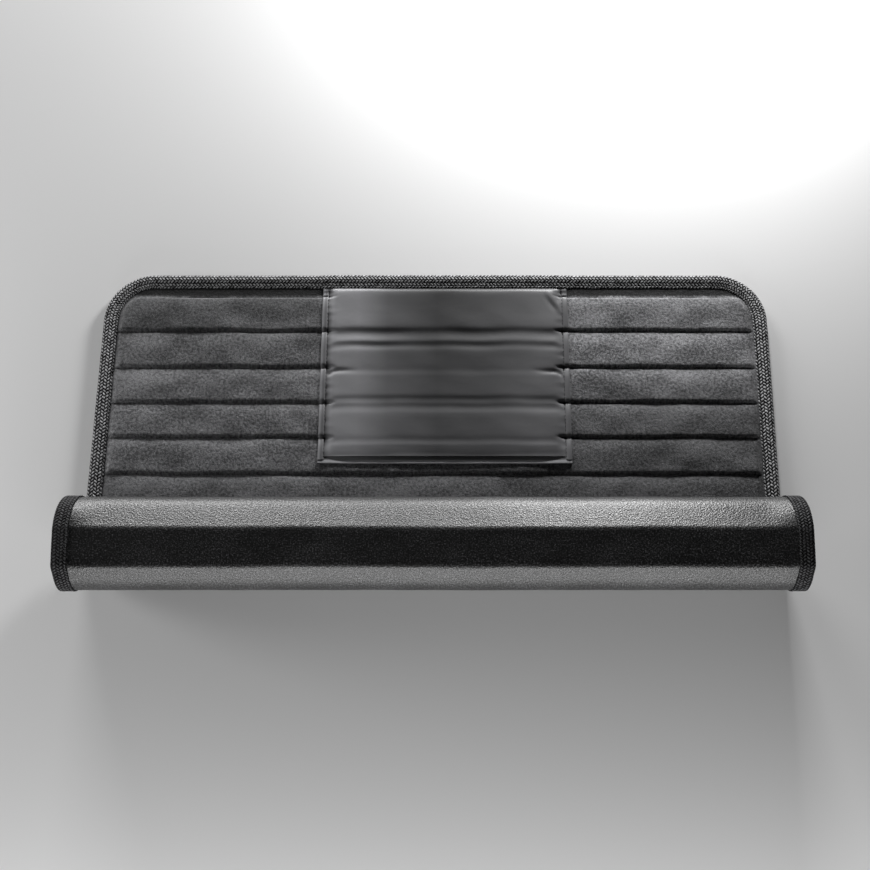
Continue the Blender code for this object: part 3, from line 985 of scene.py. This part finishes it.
def nylonPatch():
    half, seam = patch["width"] / 2, patch["seam"]
    edge = (0.0, 0.0005, 0.0015, 0.003, 0.0048, seam - 0.0007, seam, seam + 0.0007, 0.0082, 0.010, 0.0125)
    middle = np.linspace(-half + edge[-1], half - edge[-1], patch["columns"])[1:-1]
    across = np.concatenate([[-half + e for e in edge], middle, [half - e for e in reversed(edge)]])
    hemStart = patch["end"] - patch["hem"]
    slitStart = hemStart - patch["slit"]
    slitRows = slitStart + np.array([-0.0022, -0.0012, -0.0005, 0.0, 0.0006, 0.0012, 0.0022, 0.0032])
    hemRows = hemStart + np.array([-0.0004, 0.0, 0.0005, 0.0012, 0.0020, 0.0028, 0.0035, 0.0040, 0.0043])
    along = np.concatenate([
        [patch["start"], 0.009, 0.0150, 0.0163, 0.0172, 0.0182, 0.0195],
        np.arange(0.0208, slitStart - 0.003, patch["rowStep"]), slitRows, hemRows, [patch["end"]]])
    x, s = np.meshgrid(across + patch["offset"], along)
    side = insidePatch(x)
    top = patchTop(x, s)
    onFace = faceTop(x, s, 1.0) + pad["gap"]
    sameRow = 0.0001
    # the opening above the hem, as wide as from seam to seam, and the hem's rounded strip
    between = smooth((side - seam + 0.0004) / 0.0012)
    lip = patch["lip"] * smooth((s - slitStart + 0.012) / 0.010) * (s <= slitStart + sameRow)
    inSlit = (s > slitStart + sameRow) & (s < hemStart - 2 * sameRow)
    floor = onFace + 0.0003
    over = np.where(inSlit, floor + (top - floor) * (1 - between), top + lip * between)
    inHem = np.clip((s - hemStart) / patch["hem"], 0, 1)
    hemTop = onFace + 0.0004 + patch["hemHeight"] * inHem * np.sqrt(1 - inHem ** 6)
    over = np.where(s >= hemStart - sameRow, hemTop, over)
    # the rounded folds down its sides
    share = side / seam
    folded = onFace + 0.0006 + patch["foldHeight"] * np.sqrt(np.clip(share * (1 - share) * 4, 0, 1))
    tucked = smooth((s - pad["paddingStart"]) / 0.004)
    atSide = (side < seam - 0.0005) & (s < hemStart - sameRow)
    over = np.where(atSide, over + (folded - over) * tucked, over)
    under = np.minimum(over - 0.0003, np.maximum(onFace, over - patch["thickness"]))
    under = np.where(s <= pad["paddingStart"], over - patch["thickness"], under)
    piece = layerBetween("nylonPatch", np.stack([x, s, under], -1), np.stack([x, s, over], -1))
    dress(piece, nylonFinish(), "patch", "nylon_patch")
    return piece


# Sewing

sewing = {
    "channelStitch": 0.0034,
    "tapeStitch": 0.0023,
    "patchStitch": 0.0042,
    "thread": 0.00042,       # radius
    "taper": 0.35,           # how much thinner it is drawn at a stitch's ends
    "sink": 0.0006,          # and how far they are drawn down
    "gapShare": 0.30,        # of a stitch, where the thread is down in the cloth
    "lift": 0.0001,          # off the cloth,
    "tapeLift": 0.00012,     # off the tape on the padded side
    "backLift": 0.00005,     # and into it on the rubber side
    "seamsThatShow": 11,
    "dark": (0.030, 0.030, 0.032),
    "light": (0.060, 0.060, 0.064),
}


def threadFinish():
    thread = Finish("sewing thread", roughness=0.55)
    twist = thread.noise(thread.place(), 2200, 1)
    return thread.feed(
        base_color=thread.tint(twist, sewing["dark"], sewing["light"]), normal=thread.bump(twist, 0.0001))


# One stitch, as points along its own length, across and up, and its faces: a thin cylinder whose
# ends are pushed down into the cloth
def oneStitch():
    bpy.ops.object.select_all(action="DESELECT")
    bpy.ops.mesh.primitive_cylinder_add(
        vertices=6, radius=1, depth=1, end_fill_type="NGON", location=(0, 0, 0), rotation=(0, math.pi / 2, 0))
    stitch = bpy.context.active_object
    bpy.ops.object.transform_apply(location=True, rotation=True, scale=True)
    bpy.ops.object.mode_set(mode="EDIT")
    for place in (-1 / 6, 1 / 6):
        bpy.ops.mesh.select_all(action="SELECT")
        bpy.ops.mesh.bisect(plane_co=(place, 0, 0), plane_no=(1, 0, 0))
    bpy.ops.object.mode_set(mode="OBJECT")
    points = np.array([v.co for v in stitch.data.vertices])
    faces = [list(p.vertices) for p in stitch.data.polygons]
    bpy.data.objects.remove(stitch, do_unlink=True)
    return points, faces


# Stitches one after another at flat places, each along its own direction. Those on the rubber side
# stand downwards.
def sew(name, places, ways, length):
    shape, faces = oneStitch()
    atEnd = np.abs(shape[:, 0]) > 0.45
    girth = sewing["thread"] * (1 - sewing["taper"] * atEnd)
    reach = shape[:, 0] * length * (1 - sewing["gapShare"])
    aside = shape[:, 1] * girth
    up = shape[:, 2] * girth - sewing["sink"] * atEnd
    x, s, h = (places[:, None, i] for i in range(3))
    wayX, wayS = (ways[:, None, i] for i in range(2))
    points = np.stack([
        x + wayX * reach + wayS * aside,
        s + wayS * reach - wayX * aside,
        h + np.where(h < tape["height"] / 4, -1, 1) * up], -1)
    count = len(shape)
    piece = rolledObject(name, points, [
        [v + number * count for v in corners] for number in range(len(places)) for corners in faces])
    turnOutwards(piece)
    bpy.ops.object.shade_smooth()
    return piece


def channelStitches():
    places = []
    for number, seam in enumerate(seamPlaces[:sewing["seamsThatShow"]]):
        half = float(halfWidth(seam, tape["width"])) - 0.001
        x = np.arange(-half, half, sewing["channelStitch"])
        s = seam - strayOf(x, number)
        h = faceTop(x, s, half + tape["width"] - np.abs(x)) + sewing["lift"]
        covered = (insidePatch(x) > -0.001) & (seam < patch["end"])
        places.append(np.stack([x, s, h], -1)[~covered])
    places = np.concatenate(places)
    ways = np.tile((1.0, 0.0), (len(places), 1))
    return dress(sew("channelStitches", places, ways, sewing["channelStitch"]), threadFinish(), "face")


def tapeStitches():
    points, ways, lengths = outlineRound()
    count = int(lengths[-1] / sewing["tapeStitch"])
    at = np.linspace(0, lengths[-1], count, endpoint=False)
    x, s, wayX, wayS = (
        np.interp(at, lengths, np.append(values, values[0])) for values in (*points.T, *ways.T))
    long = np.hypot(wayX, wayS)
    wayX, wayS = wayX / long, wayS / long
    inset = tape["width"] - tape["stitchInset"]
    flatX, flatS = x - wayX * inset, s - wayS * inset
    top = tape["height"] - 0.0011 + overPatch(x, s)
    upper = np.stack([flatX, flatS, top + sewing["tapeLift"]], -1)
    lower = np.stack([flatX, flatS, np.full(count, sewing["backLift"])], -1)
    along = np.stack([-wayS, wayX], -1)
    rolled = s > roll["flatLength"] - 0.02
    piece = sew(
        "tapeStitches", np.concatenate([upper, lower[rolled]]), np.concatenate([along, along[rolled]]),
        sewing["tapeStitch"])
    return dress(piece, threadFinish(), "binding")


def patchStitches():
    s = np.arange(pad["paddingStart"] + 0.003, patch["end"] - 0.0015, sewing["patchStitch"])
    places = []
    for way in (-1, 1):
        x = np.full(len(s), patch["offset"] + way * (patch["width"] / 2 - patch["seam"]))
        places.append(np.stack([x, s, patchTop(x, s) + sewing["lift"]], -1))
    places = np.concatenate(places)
    ways = np.tile((0.0, 1.0), (len(places), 1))
    return dress(sew("patchStitches", places, ways, sewing["patchStitch"]), threadFinish(), "patch")


# Room, light and camera

studio = {
    "floor": (0.80, 0.80, 0.80),
    "floorSize": 8,
    "floorDrop": 0.0006,     # below the mat
    "cameraPlace": (0.0019, -0.3283, 1.0933),
    "cameraTilt": 16.466,    # degrees from straight down
    "lens": 42.66,
    "sky": 0.01,
    # name, place, size and power in watts; all point at the mat
    "lamps": (
        ("backLeftSoftbox", (-0.68, 1.86, 0.31), (0.8, 0.4), 37.0),
        ("backRightKey", (0.32, 0.86, 0.22), (0.22, 0.14), 12.0),
        ("leftEdge", (-1.05, 0.0, 0.21), (0.20, 0.30), 2.9),
        ("frontSoftbox", (0.0, -0.90, 0.16), (1.5, 0.12), 9.0)),
    "lampsAim": (0, 0, 0.03),
}


def softbox(name, place, size, watts):
    bpy.ops.object.light_add(type="AREA", location=place)
    lamp = bpy.context.active_object
    lamp.name = name
    lamp.data.shape = "RECTANGLE"
    lamp.data.size, lamp.data.size_y = size
    lamp.data.energy = watts
    lamp.rotation_euler = (Vector(studio["lampsAim"]) - Vector(place)).to_track_quat("-Z", "Y").to_euler()


def room():
    bpy.ops.object.select_all(action="DESELECT")
    bpy.ops.mesh.primitive_plane_add(size=studio["floorSize"], location=(0, 0, -studio["floorDrop"]))
    floor = bpy.context.active_object
    floor.name = "floor"
    paper = Finish("pale paper", roughness=0.9)
    paper.shader.inputs["Base Color"].default_value = (*studio["floor"], 1)
    floor.data.materials.append(paper.material)
    for lamp in studio["lamps"]:
        softbox(*lamp)
    world = bpy.data.worlds.new("studio")
    bpy.context.scene.world = world
    world.use_nodes = True
    sky = world.node_tree.nodes["Background"]
    sky.inputs["Color"].default_value = (1, 1, 1, 1)
    sky.inputs["Strength"].default_value = studio["sky"]
    tilt = math.radians(studio["cameraTilt"])
    bpy.ops.object.camera_add(location=studio["cameraPlace"], rotation=(tilt, 0, 0))
    camera = bpy.context.active_object
    camera.data.lens = studio["lens"]
    bpy.context.scene.camera = camera
    bpy.context.scene.view_settings.view_transform = "Standard"


for make in (quiltedFace, foamPadding, rubberBacking, edgeTape, nylonPatch,
             channelStitches, tapeStitches, patchStitches):
    made = make()
    print("made", made.name, len(made.data.polygons), "faces")
room()
print("room, light and camera set")
